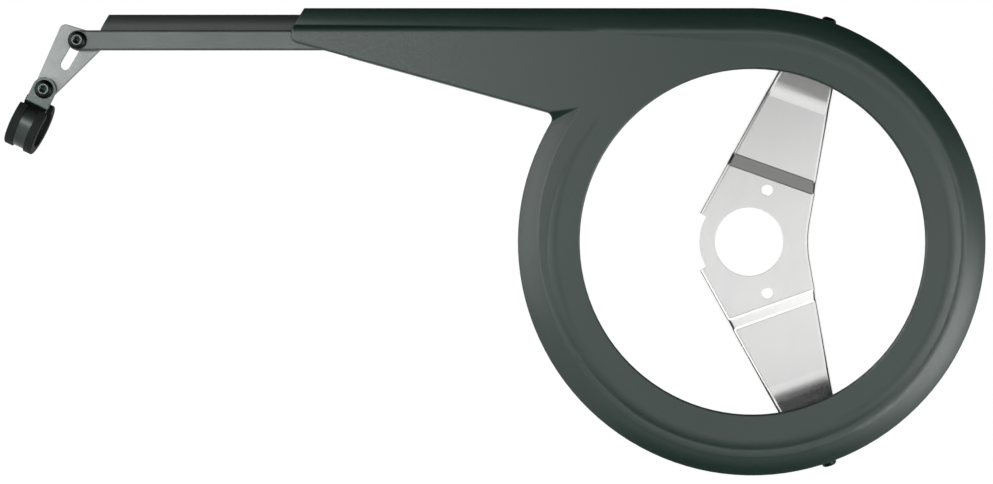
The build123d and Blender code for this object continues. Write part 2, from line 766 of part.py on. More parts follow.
# Fasteners of the clamp, from the front ear to the nut behind the plate.
with BuildPart() as clamp_bolt:
    add(
        button_screw(
            place(clamp_x, clamp_z, EAR_FRONT), BOLT_R, bolt_head, bolt_socket, EAR_FRONT - bolt_end
        )
    )
clamp_bolt.part.label = "clamp_bolt"
export_step(clamp_bolt.part, "parts/clamp_bolt.step")

with BuildPart() as clamp_washer:
    add(washer(place(clamp_x, clamp_z, LINK_BACK), BOLT_R, WASHER_R, WASHER_THICKNESS))
clamp_washer.part.label = "clamp_washer"
export_step(clamp_washer.part, "parts/clamp_washer.step")

with BuildPart() as clamp_nut:
    add(hex_nut(place(clamp_x, clamp_z, nut_seat), BOLT_R, NUT_FLATS, NUT_HEIGHT))
clamp_nut.part.label = "clamp_nut"
export_step(clamp_nut.part, "parts/clamp_nut.step")

# Clamp: section plane across the frame tube, with the ears along x and out upward.
ear_x = cos(radians(CLAMP_ANGLE))
ear_z = sin(radians(CLAMP_ANGLE))
tube_plane = Plane(
    origin=(clamp_x - EAR_REACH * ear_x, -TUBE_OUT, clamp_z - EAR_REACH * ear_z),
    x_dir=(ear_x, 0, ear_z),
    z_dir=(ear_z, 0, -ear_x),
)
strap_r = STRAP_INNER_R + STRAP_THICKNESS / 2
ear_end = EAR_REACH + EAR_END_R
front_ear = strap_r - EAR_SETBACK
back_ear = front_ear - STRAP_THICKNESS - EAR_GAP


def strap_leaves(angle: float, ear: float) -> list[tuple[float, float]]:
    """Line of the strap from the ring to the end of an ear.

    Args:
        angle: Where the strap leaves the ring, from the direction of the ears.
        ear: Level of the ear.

    Returns:
        The place on the ring, the corner where the strap turns into the ear, and the ear's end.
    """
    turn = radians(angle)
    on_ring = (strap_r * cos(turn), strap_r * sin(turn))
    corner = (on_ring[0] - (ear - on_ring[1]) * tan(turn), ear)
    return [on_ring, corner, (ear_end, ear)]


with BuildPart() as clamp_strap:
    with BuildLine(tube_plane) as strap_path:
        FilletPolyline(*strap_leaves(STRAP_FRONT_LEAVE, front_ear)[::-1], radius=STRAP_BEND_R)
        CenterArc((0, 0), strap_r, STRAP_FRONT_LEAVE, STRAP_SWEEP)
        FilletPolyline(*strap_leaves(STRAP_BACK_LEAVE, back_ear), radius=STRAP_BEND_R)
    with BuildSketch(Plane(origin=strap_path.line @ 0, z_dir=strap_path.line % 0, x_dir=(0, -1, 0))):
        Rectangle(STRAP_THICKNESS, STRAP_WIDTH)
    sweep(path=strap_path.line)
    # Round ear ends and the bolt hole through both ears.
    with BuildSketch(place(clamp_x, clamp_z, EAR_FRONT)):
        Rectangle(2 * ear_end, 2 * ear_end)
        Circle(EAR_END_R, mode=Mode.SUBTRACT)
        with Locations((-ear_end * ear_x, -ear_end * ear_z)):
            Rectangle(2 * ear_end, 2 * ear_end, rotation=CLAMP_ANGLE, mode=Mode.SUBTRACT)
    extrude(amount=-2 * STRAP_OUTER_R, mode=Mode.SUBTRACT)
    with BuildSketch(place(clamp_x, clamp_z, EAR_FRONT)):
        Circle(BOLT_R + HOLE_GAP)
    extrude(amount=-2 * STRAP_OUTER_R, mode=Mode.SUBTRACT)
clamp_strap.part.label = "clamp_strap"
export_step(clamp_strap.part, "parts/clamp_strap.step")

# Rubber lining: a groove holds the strap, and lips wrap over its edges.
liner_turn = radians(STRAP_FRONT_LEAVE + LINER_END_GAP)
liner_plane = Plane(
    origin=tube_plane.origin,
    x_dir=tube_plane.x_dir * cos(liner_turn) + tube_plane.y_dir * sin(liner_turn),
    z_dir=tube_plane.x_dir * sin(liner_turn) - tube_plane.y_dir * cos(liner_turn),
)
with BuildPart() as clamp_liner:
    with BuildSketch(liner_plane) as liner_section:
        with Locations((LIP_R / 2 + TUBE_R / 2, 0)):
            Rectangle(LIP_R - TUBE_R, LINER_LENGTH)
        fillet(liner_section.vertices().sort_by_distance((0, 0))[-2:], LINER_EDGE_R)
        with Locations((strap_r, 0)):
            Rectangle(STRAP_THICKNESS + 2 * LINER_GAP, STRAP_WIDTH + 2 * LINER_GAP, mode=Mode.SUBTRACT)
        with Locations((LIP_R, 0)):
            Rectangle(2 * (LIP_R - strap_r), LINER_GROOVE, mode=Mode.SUBTRACT)
    revolve(axis=Axis(tube_plane.origin, tube_plane.z_dir), revolution_arc=STRAP_SWEEP - 2 * LINER_END_GAP)
clamp_liner.part.label = "clamp_liner"
export_step(clamp_liner.part, "parts/clamp_liner.step")

# Bracket: the upper arm's sheet in its own directions, u along the arm and out upward.
spread = radians(SPREAD)
arm_x = cos(spread)
arm_z = sin(spread)
profile_plane = Plane(origin=(0, 0, 0), x_dir=(arm_x, 0, arm_z), z_dir=(arm_z, 0, -arm_x))
taper = (ROOT_HALF_WIDTH - TIP_HALF_WIDTH) / (TIP_U - ROOT_U)


def arm_point(u: float, v: float) -> tuple[float, float]:
    """Place in X and Z on the upper arm, u along it and v square to it, to the left."""
    return (u * arm_x - v * arm_z, u * arm_z + v * arm_x)


def half_width(u: float) -> float:
    """Half the width of the arm at distance u from the crank axle."""
    return ROOT_HALF_WIDTH - (u - ROOT_U) * taper


joggle_half = tan(atan2(JOGGLE_DROP, JOGGLE_RUN) / 2)
sweep_turn = radians(SWEEP_ANGLE)
sweep_half = tan(sweep_turn / 2)
low_out = SHEET - JOGGLE_DROP
sweep_u = SWEEP_U + SWEEP_R * sweep_half


def sheet_points(depth: float) -> list[tuple[float, float]]:
    """Corners of the sheet's line along the arm, at a depth below its outboard face.

    Args:
        depth: Distance below the outboard face.

    Returns:
        Places in u and out, from the hub to the corner of the end tab.
    """
    tip_u = PAD_U - SHEET + depth
    turn_u = sweep_u + depth * sweep_half
    return [
        (0, SHEET - depth),
        (JOGGLE_U - depth * joggle_half, SHEET - depth),
        (JOGGLE_U + JOGGLE_RUN - depth * joggle_half, low_out - depth),
        (turn_u, low_out - depth),
        (tip_u, low_out - depth + (tip_u - turn_u) * tan(sweep_turn)),
    ]


def sheet_radii(depth: float) -> list[float]:
    """Bend radii of the sheet's line at a depth below its outboard face."""
    return [JOGGLE_R - depth, JOGGLE_R + depth, SWEEP_R + depth]


def lowered(points: list[tuple[float, float]], drop: float) -> list[tuple[float, float]]:
    """The same corners, moved inboard."""
    return [(u, out - drop) for u, out in points]


# The right edges of both arms meet in a soft bend beside the hub.
edge_x = arm_x - taper * arm_z
edge_z = arm_z + taper * arm_x
edge_length = hypot(edge_x, edge_z)
axis_half_width = ROOT_HALF_WIDTH + ROOT_U * taper
kink_u = axis_half_width * arm_x / edge_z
kink_x = kink_u * arm_x + half_width(kink_u) * arm_z
bend_x = kink_x + HUB_KINK_R * edge_length / edge_z


def arm_plan(inset: float, end_u: float) -> None:
    """Draw the flanged edges of the upper arm, from the hub to its end and back.

    Args:
        inset: Distance inside the flanges' outer faces.
        end_u: Where the outline ends along the arm.
    """
    bend_r = HUB_KINK_R + inset
    side = inset * edge_length
    start = (bend_x - bend_r, 0)
    touch = (bend_x - bend_r * edge_z / edge_length, bend_r * edge_x / edge_length)
    TangentArc(start, touch, tangent=(0, 1))
    Polyline(
        touch,
        arm_point(end_u, side - half_width(end_u)),
        arm_point(end_u, half_width(end_u) - side),
        arm_point(ROOT_U, ROOT_HALF_WIDTH - side),
    )


def flange_top(edge: Edge) -> bool:
    """True for an edge where the sheet's face turns down into a flange."""
    centre = edge.center()
    u = centre.X * arm_x + centre.Z * arm_z
    v = centre.Z * arm_x - centre.X * arm_z
    fall = min(max((u - JOGGLE_U) / JOGGLE_RUN, 0), 1) * JOGGLE_DROP
    rise = max(u - sweep_u, 0) * tan(sweep_turn)
    beside_arm = abs(abs(v) - half_width(u)) < FLANGE_R
    beside_hub = hypot(centre.X - bend_x, centre.Z) < HUB_KINK_R + FLANGE_R
    along = abs((edge % 0.5).Y) < cos(radians(SWEEP_ANGLE))
    near_face = -centre.Y > SHEET - fall + rise - FLANGE / 2
    return (beside_arm or beside_hub) and along and near_face and centre.Z > THREAD_GAP


with BuildPart() as pan_outer:
    with BuildSketch(profile_plane):
        with BuildLine():
            FilletPolyline(*sheet_points(0), radius=sheet_radii(0))
            FilletPolyline(*lowered(sheet_points(0), FLANGE), radius=sheet_radii(0))
            Line(sheet_points(0)[0], lowered(sheet_points(0), FLANGE)[0])
            Line(sheet_points(0)[-1], lowered(sheet_points(0), FLANGE)[-1])
        make_face()
    extrude(amount=PAD_U, both=True)
    with BuildSketch(out_plane(low_out - 2 * FLANGE)):
        with BuildLine():
            arm_plan(0, FLANGE_END_U)
            Polyline(arm_point(ROOT_U, ROOT_HALF_WIDTH), (0, 0), (bend_x - HUB_KINK_R, 0))
        make_face()
    extrude(amount=PAD_U, mode=Mode.INTERSECT)
    fillet(pan_outer.edges().filter_by(flange_top), FLANGE_R)

with BuildPart() as pan_inner:
    with BuildSketch(profile_plane):
        with BuildLine():
            FilletPolyline(*sheet_points(SHEET), radius=sheet_radii(SHEET))
            FilletPolyline(*lowered(sheet_points(SHEET), 2 * FLANGE), radius=sheet_radii(SHEET))
            Line(sheet_points(SHEET)[0], lowered(sheet_points(SHEET), 2 * FLANGE)[0])
            Line(sheet_points(SHEET)[-1], lowered(sheet_points(SHEET), 2 * FLANGE)[-1])
        make_face()
    extrude(amount=PAD_U, both=True)
    with BuildSketch(out_plane(low_out - 4 * FLANGE)):
        with BuildLine():
            arm_plan(SHEET, FLANGE_END_U + FLANGE)
            Polyline(
                arm_point(ROOT_U, ROOT_HALF_WIDTH - SHEET * edge_length),
                arm_point(-HUB_R, half_width(-HUB_R) - SHEET * edge_length),
                (0, -HUB_R),
                (bend_x - HUB_KINK_R - SHEET, 0),
            )
        make_face()
    extrude(amount=PAD_U, mode=Mode.INTERSECT)
    fillet(pan_inner.edges().filter_by(flange_top), FLANGE_R - SHEET)

with BuildPart() as arm_tip:
    with BuildSketch(profile_plane):
        with BuildLine():
            FilletPolyline(
                *sheet_points(0), (PAD_U - SHEET, TAB_END_OUT), radius=sheet_radii(0) + [TAB_R]
            )
            FilletPolyline(
                *sheet_points(SHEET), (PAD_U, TAB_END_OUT), radius=sheet_radii(SHEET) + [TAB_R + SHEET]
            )
            Line(sheet_points(0)[0], sheet_points(SHEET)[0])
            Line((PAD_U - SHEET, TAB_END_OUT), (PAD_U, TAB_END_OUT))
        make_face()
    extrude(amount=PAD_U, both=True)
    with BuildSketch(out_plane(low_out - 2 * FLANGE)):
        with BuildLine():
            Polyline(
                arm_point(FLANGE_END_U, half_width(FLANGE_END_U)),
                arm_point(RING_R, half_width(RING_R)),
                arm_point(RING_R, -half_width(RING_R)),
                arm_point(FLANGE_END_U, -half_width(FLANGE_END_U)),
                close=True,
            )
        make_face()
    extrude(amount=PAD_U, mode=Mode.INTERSECT)

with BuildPart() as bb_bracket:
    add(pan_outer.part)
    add(pan_inner.part, mode=Mode.SUBTRACT)
    add(arm_tip.part)
    # Screw hole in the tab and small hole in the arm.
    with BuildSketch(rim_plane(1, PAD_U)):
        Circle(RIM_SCREW_R + HOLE_GAP)
    extrude(amount=-2 * SHEET, mode=Mode.SUBTRACT)
    with BuildSketch(out_plane(0)):
        with Locations(arm_point(SMALL_HOLE_U, 0)):
            Circle(SMALL_HOLE_R)
    extrude(amount=SHEET, mode=Mode.SUBTRACT)
    mirror(about=Plane.XY)
    with BuildSketch(out_plane(0)):
        Circle(HUB_R)
    extrude(amount=SHEET)
    with BuildSketch(out_plane(0)):
        Circle(BORE_R)
    extrude(amount=SHEET, mode=Mode.SUBTRACT)
bb_bracket.part.label = "bb_bracket"
export_step(bb_bracket.part, "parts/bb_bracket.step")

rim_head = (RIM_HEAD_R, RIM_HEAD_HEIGHT)
rim_socket = (RIM_SOCKET, RIM_SOCKET_DEPTH)
with BuildPart() as rim_screws:
    for side in (1, -1):
        add(button_screw(rim_plane(side, RING_R), RIM_SCREW_R, rim_head, rim_socket, RIM_SCREW_LENGTH))
rim_screws.part.label = "rim_screws"
export_step(rim_screws.part, "parts/rim_screws.step")

with BuildPart() as rim_nuts:
    for side in (1, -1):
        add(hex_nut(rim_plane(side, PAD_U - SHEET), RIM_SCREW_R, RIM_NUT_FLATS, RIM_NUT_HEIGHT))
rim_nuts.part.label = "rim_nuts"
export_step(rim_nuts.part, "parts/rim_nuts.step")
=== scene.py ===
"""Looks of a bicycle chain guard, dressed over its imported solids."""

import logging
import math
from dataclasses import dataclass, field
from enum import Enum

import bmesh
import bpy
from mathutils import Matrix, Vector


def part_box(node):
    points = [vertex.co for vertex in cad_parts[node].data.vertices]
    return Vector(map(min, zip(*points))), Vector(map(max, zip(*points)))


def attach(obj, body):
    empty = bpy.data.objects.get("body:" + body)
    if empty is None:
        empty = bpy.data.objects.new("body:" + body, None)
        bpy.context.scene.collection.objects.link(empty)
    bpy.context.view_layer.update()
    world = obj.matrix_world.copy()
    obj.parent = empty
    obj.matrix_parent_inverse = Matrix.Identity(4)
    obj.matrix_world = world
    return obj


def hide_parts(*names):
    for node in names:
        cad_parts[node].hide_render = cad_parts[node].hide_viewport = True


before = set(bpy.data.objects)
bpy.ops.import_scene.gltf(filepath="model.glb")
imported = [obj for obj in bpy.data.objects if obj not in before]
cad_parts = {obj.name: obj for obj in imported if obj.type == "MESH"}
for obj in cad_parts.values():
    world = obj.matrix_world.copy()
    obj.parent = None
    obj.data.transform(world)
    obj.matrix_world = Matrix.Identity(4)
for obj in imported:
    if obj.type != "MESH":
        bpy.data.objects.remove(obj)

LOG = logging.getLogger("chain_guard")
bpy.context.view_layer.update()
MM = 0.001
RING_POINTS = 48
HEX_SIDES = 6

# The sRGB curve: channels up to 255, straight up to its knee and a power above it.
SRGB_MOST = 255
SRGB_KNEE = 0.04045
SRGB_SLOPE = 12.92
SRGB_OFFSET = 0.055
SRGB_POWER = 2.4

# Inputs and output of a Mix node that mixes colours.
MIX_SHARE = 0
MIX_FIRST = 6
MIX_SECOND = 7
MIX_RESULT = 2

# Noise of the fine marks and of the cloudy patches, and the part of its range that is used.
MARK_NOISE = {"Detail": 3.0, "Roughness": 0.6}
MARK_SPAN = {"From Min": 0.3, "From Max": 0.7}
CLOUD_NOISE = {"Detail": 4.0, "Roughness": 0.55}
CLOUD_SPAN = {"From Min": 0.35, "From Max": 0.68}

# Cosine of a rounded normal's lean from the face's own where the paler edge starts and where it is full,
# and the share of the edge's colour at each. That paler edge is partly wear and partly painted highlight.
EDGE_SPAN = {"From Min": 0.98, "From Max": 0.75, "To Min": 0.0, "To Max": 0.8}
EDGE_SAMPLES = 6
SOFT_SAMPLES = 8

Colour = tuple[float, float, float, float]
Place = tuple[float, float, float]
Socket = bpy.types.NodeSocket
Tree = bpy.types.NodeTree


def linear(colour: str) -> Colour:
    """Turn an sRGB hex colour into linear values.

    Args:
        colour: Colour such as "#3e4845".

    Returns:
        Red, green, blue and alpha.
    """
    parts = [int(colour[start:start + 2], 16) / SRGB_MOST for start in (1, 3, 5)]
    red, green, blue = (
        part / SRGB_SLOPE if part <= SRGB_KNEE else ((part + SRGB_OFFSET) / (1 + SRGB_OFFSET)) ** SRGB_POWER
        for part in parts
    )
    return red, green, blue, 1.0


def add_node(tree: Tree, kind: str, links: dict | None = None, **settings: object) -> bpy.types.Node:
    """Add a node with its settings and links.

    Args:
        tree: Tree that gets the node.
        kind: Blender's name of the node.
        links: Input name or number to a value, or to the output that feeds it.
        settings: Properties of the node itself.

    Returns:
        The new node.
    """
    node = tree.nodes.new(kind)
    for name, value in settings.items():
        setattr(node, name, value)
    for name, value in (links or {}).items():
        if isinstance(value, Socket):
            tree.links.new(value, node.inputs[name])
        else:
            node.inputs[name].default_value = value
    return node


def per_metre(size_mm: float) -> float:
    """Texture scale for a pattern whose features are that many millimetres wide."""
    return 1.0 / (size_mm * MM)


class Lay(Enum):
    """Direction in which a surface's marks run, as their lengths along X, Y and Z in widths."""

    EVEN = (1.0, 1.0, 1.0)
    ALONG_X = (40.0, 1.0, 1.0)
    ALONG_Z = (1.0, 1.0, 40.0)


@dataclass(frozen=True)
class Finish:
    """A surface: what it is made of and how it was made.

    Args:
        name: Material and process.
        colour: Main colour, sRGB hex.
        tint: Colour of the cloudy patches, sRGB hex.
        edge: Colour along edges and creases, sRGB hex; partly wear, partly painted highlight.
        metallic: 1 for steel, less for dulled aluminium, 0 for the rest.
        roughness: Least and most roughness.
        grain_mm: Width of the fine marks.
        depth_mm: Depth of the fine marks.
        cloud_mm: Width of the cloudy patches.
        lay: Direction of the marks.
        edge_mm: Width of the paler edge.
        soft_mm: Radius to which sharp creases look rounded.
        ior: Refractive index.
    """

    name: str
    colour: str
    tint: str
    edge: str
    metallic: float
    roughness: tuple[float, float]
    grain_mm: float
    depth_mm: float
    cloud_mm: float
    lay: Lay = Lay.EVEN
    edge_mm: float = 0.5
    soft_mm: float = 0.3
    ior: float = 1.5

    def material(self) -> bpy.types.Material:
        """Build the finish as a node material.

        Returns:
            The material.
        """
        made = bpy.data.materials.new(self.name)
        made.use_nodes = True
        tree = made.node_tree
        tree.nodes.clear()
        place = add_node(tree, "ShaderNodeTexCoord").outputs["Object"]
        marks = self.marks(tree, place)
        base = self.base_colour(tree, place, marks)
        least, most = self.roughness
        rough = add_node(
            tree, "ShaderNodeMapRange", {"Value": marks, **MARK_SPAN, "To Min": least, "To Max": most},
        )
        soft = add_node(tree, "ShaderNodeBevel", {"Radius": self.soft_mm * MM}, samples=SOFT_SAMPLES)
        bump = add_node(
            tree, "ShaderNodeBump",
            {"Height": marks, "Strength": 1.0, "Distance": self.depth_mm * MM,
             "Normal": soft.outputs["Normal"]},
        )
        shader = add_node(
            tree, "ShaderNodeBsdfPrincipled",
            {"Base Color": base, "Metallic": self.metallic, "Roughness": rough.outputs["Result"],
             "IOR": self.ior, "Normal": bump.outputs["Normal"]},
        )
        add_node(tree, "ShaderNodeOutputMaterial", {"Surface": shader.outputs["BSDF"]})
        return made

    def marks(self, tree: Tree, place: Socket) -> Socket:
        """Fine marks of the process, drawn out along their lay.

        Args:
            tree: Tree that gets the nodes.
            place: Coordinates on the piece.

        Returns:
            The marks, from 0 to 1.
        """
        stretch = [per_metre(self.grain_mm * length) for length in self.lay.value]
        drawn = add_node(tree, "ShaderNodeMapping", {"Vector": place, "Scale": stretch})
        return add_node(
            tree, "ShaderNodeTexNoise", {"Vector": drawn.outputs["Vector"], "Scale": 1.0, **MARK_NOISE},
        ).outputs["Fac"]

    def base_colour(self, tree: Tree, place: Socket, marks: Socket) -> Socket:
        """Main colour with its cloudy patches and paler edges, partly wear and partly painted highlight.

        Args:
            tree: Tree that gets the nodes.
            place: Coordinates on the piece.
            marks: Fine marks that break the paler edge up.

        Returns:
            The colour.
        """
        clouds = add_node(
            tree, "ShaderNodeTexNoise",
            {"Vector": place, "Scale": per_metre(self.cloud_mm), **CLOUD_NOISE},
        )
        share = add_node(tree, "ShaderNodeMapRange", {"Value": clouds.outputs["Fac"], **CLOUD_SPAN})
        cloudy = add_node(
            tree, "ShaderNodeMix",
            {MIX_SHARE: share.outputs["Result"], MIX_FIRST: linear(self.colour),
             MIX_SECOND: linear(self.tint)},
            data_type="RGBA",
        )
        worn_and_highlight = add_node(
            tree, "ShaderNodeMix",
            {MIX_SHARE: self.edge_mask(tree, marks), MIX_FIRST: cloudy.outputs[MIX_RESULT],
             MIX_SECOND: linear(self.edge)},
            data_type="RGBA",
        )
        return worn_and_highlight.outputs[MIX_RESULT]

    def edge_mask(self, tree: Tree, marks: Socket) -> Socket:
        """Share of edge colour: where a rounded normal departs from the face's own.

        Args:
            tree: Tree that gets the nodes.
            marks: Fine marks that break the edge up.

        Returns:
            The share, from 0 to 1.
        """
        # Paler colour on sharp edges and hollow creases alike: partly wear, partly painted highlight.
        rounded = add_node(tree, "ShaderNodeBevel", {"Radius": self.edge_mm * MM}, samples=EDGE_SAMPLES)
        own = add_node(tree, "ShaderNodeNewGeometry")
        alike = add_node(
            tree, "ShaderNodeVectorMath",
            {0: rounded.outputs["Normal"], 1: own.outputs["Normal"]}, operation="DOT_PRODUCT",
        )
        edge = add_node(tree, "ShaderNodeMapRange", {"Value": alike.outputs["Value"], **EDGE_SPAN})
        broken = add_node(
            tree, "ShaderNodeMath", {0: edge.outputs["Result"], 1: marks},
            operation="MULTIPLY", use_clamp=True,
        )
        return broken.outputs["Value"]


# The grain, lines and streaks of all these finishes are drawn coarser than life, so that they show.

# Polypropylene, moulded in a tool with a fine spark-eroded skin: a nearly black green under a satin
# gloss, which lifts it to an even grey-green where it mirrors the lamps and the room.
GUARD_PLASTIC = Finish(
    "polypropylene_moulded_satin", "#092019", "#081d16", "#0e251e",
    metallic=0.0, roughness=(0.34, 0.44), grain_mm=0.9, depth_mm=0.006, cloud_mm=60.0, soft_mm=1.2,
)
# The same plastic in a darker mix for the rear channel. Its deeper grain dulls the shine, so the
# index is low.
EXTENSION_PLASTIC = Finish(
    "polypropylene_moulded_dark", "#09120f", "#080f0c", "#151f1b",
    metallic=0.0, roughness=(0.40, 0.50), grain_mm=0.8, depth_mm=0.008, cloud_mm=45.0, ior=1.4,
)
# Stainless steel sheet, cold rolled and stamped: pale and bright, with faint lines along the roll
# and soft clouds.
BRACKET_STEEL = Finish(
    "stainless_sheet_stamped_bright", "#f2f2f1", "#edeeed", "#f6f6f5",
    metallic=1.0, roughness=(0.17, 0.22), grain_mm=0.5, depth_mm=0.0008, cloud_mm=25.0,
    lay=Lay.ALONG_Z, edge_mm=0.4,
)
# Aluminium flat bar, drawn and grey anodised: matt, with streaks along its length.
BAR_ALUMINIUM = Finish(
    "aluminium_bar_grey_anodised", "#4b504e", "#454a48", "#6c7270",
    metallic=0.7, roughness=(0.42, 0.52), grain_mm=0.3, depth_mm=0.002, cloud_mm=30.0,
    lay=Lay.ALONG_X, edge_mm=0.4,
)
# Aluminium sheet, stamped and tumbled: pale, matt and slightly speckled.
LINK_ALUMINIUM = Finish(
    "aluminium_sheet_tumbled", "#787c7b", "#707473", "#949897",
    metallic=0.75, roughness=(0.45, 0.58), grain_mm=0.5, depth_mm=0.003, cloud_mm=8.0,
)
# Steel with black oxide: nearly black, a little oily, greyer on the corners from wear and painted highlight.
BLACK_STEEL = Finish(
    "steel_black_oxide", "#1d2220", "#181d1b", "#3d4240",
    metallic=1.0, roughness=(0.24, 0.34), grain_mm=0.25, depth_mm=0.002, cloud_mm=3.0, edge_mm=0.25,
)
# The same steel round the socket, paler: partly keys' wear on the oxide, partly a painted reflection.
RUBBED_AND_SHEEN_STEEL = Finish(
    "steel_black_oxide_rubbed_and_painted_sheen", "#464c4a", "#3e4442", "#5c6260",
    metallic=1.0, roughness=(0.28, 0.40), grain_mm=0.2, depth_mm=0.002, cloud_mm=1.5, edge_mm=0.2,
)
# Steel, zinc plated: pale blue-grey and slightly cloudy.
ZINC_STEEL = Finish(
    "steel_zinc_plated", "#a3a7aa", "#929699", "#c4c6c6",
    metallic=1.0, roughness=(0.30, 0.44), grain_mm=0.3, depth_mm=0.002, cloud_mm=4.0, edge_mm=0.25,
)
# Steel strip, zinc plated and dulled: dark grey, with paler edges from the shear and painted highlight.
STRAP_STEEL = Finish(
    "steel_strip_zinc_plated_dull", "#3c413f", "#353a38", "#525755",
    metallic=1.0, roughness=(0.32, 0.42), grain_mm=0.3, depth_mm=0.002, cloud_mm=6.0, edge_mm=0.3,
)
# Rubber, moulded: near black and matt, paler on the lips from dust and painted highlight. Its bloom
# dulls the shine, so the index is low.
LINER_RUBBER = Finish(
    "rubber_moulded", "#050c0a", "#040a08", "#1a221f",
    metallic=0.0, roughness=(0.68, 0.80), grain_mm=0.45, depth_mm=0.008, cloud_mm=9.0, ior=1.3,
)


class Workshop:
    """Materials made so far, so that pieces of one finish share one material."""

    def __init__(self) -> None:
        """Start with no materials."""
        self.made: dict[str, bpy.types.Material] = {}

    def material(self, finish: Finish) -> bpy.types.Material:
        """Material of a finish, made on its first use.

        Args:
            finish: The finish.

        Returns:
            Its material.
        """
        if finish.name not in self.made:
            self.made[finish.name] = finish.material()
        return self.made[finish.name]


Ring = list[Vector]


def ring(radii: list[float], height: float) -> Ring:
    """Points round the Z axis, one at each of the given radii."""
    turns = [2 * math.pi * index / len(radii) for index in range(len(radii))]
    return [Vector((r * math.cos(turn), r * math.sin(turn), height)) for r, turn in zip(radii, turns)]


def circle(radius: float, height: float) -> Ring:
    """Round ring about the Z axis."""
    return ring([radius] * RING_POINTS, height)


def hexagon(flats: float, height: float, limit: float = math.inf) -> Ring:
    """Six-sided ring about the Z axis, a corner on X.

    Args:
        flats: Width across flats.
        height: Height of the ring.
        limit: Radius to which the corners are cut back.

    Returns:
        The ring.
    """
    side = 2 * math.pi / HEX_SIDES
    turns = [2 * math.pi * index / RING_POINTS % side - side / 2 for index in range(RING_POINTS)]
    return ring([min(flats / 2 / math.cos(turn), limit) for turn in turns], height)


def upright(origin: Vector, along: Vector, across: Vector) -> Matrix:
    """Frame at a fastener's seat, in metres, with Z along its axis and X across to a hexagon's corner."""
    axes = Matrix((across, along.cross(across), along)).transposed()
    return Matrix.Translation(origin) @ axes.to_4x4()


@dataclass
class Skin:
    """Mesh of one piece, grown from rings of points.

    Args:
        name: Name of the piece.
        mesh: Mesh in the making.
        sharp_deg: Angle from which an edge stays crisp.
    """

    name: str
    mesh: bmesh.types.BMesh = field(default_factory=bmesh.new)
    sharp_deg: float = 34.0

    def grow(self, rings: list[Ring], place: Matrix, closed: bool, rubbed_and_sheen: range = range(0)) -> None:
        """Join rings into one closed shell.

        Args:
            rings: Rings in order, in millimetres.
            place: Frame of the rings.
            closed: Whether the last ring joins the first, as in a nut; ends are capped otherwise.
            rubbed_and_sheen: Bands between rings that take the second material.
        """
        loops = [[self.mesh.verts.new(place @ (point * MM)) for point in points] for points in rings]
        bands = list(zip(loops, loops[1:]))
        if closed:
            bands.append((loops[-1], loops[0]))
        else:
            self.mesh.faces.new(loops[0])
            self.mesh.faces.new(loops[-1])
        for number, (near, far) in enumerate(bands):
            for index in range(RING_POINTS):
                after = (index + 1) % RING_POINTS
                face = self.mesh.faces.new((near[index], near[after], far[after], far[index]))
                face.material_index = int(number in rubbed_and_sheen)

    def piece(self, materials: list[bpy.types.Material]) -> bpy.types.Object:
        """Turn the mesh into a smooth-shaded piece.

        Args:
            materials: Its materials, in the order of the faces' numbers.

        Returns:
            The piece, in the scene.
        """
        bmesh.ops.recalc_face_normals(self.mesh, faces=self.mesh.faces)
        data = bpy.data.meshes.new(self.name)
        self.mesh.to_mesh(data)
        self.mesh.free()
        data.shade_smooth()
        data.set_sharp_from_angle(angle=math.radians(self.sharp_deg))
        for material in materials:
            data.materials.append(material)
        made = bpy.data.objects.new(self.name, data)
        bpy.context.scene.collection.objects.link(made)
        return made


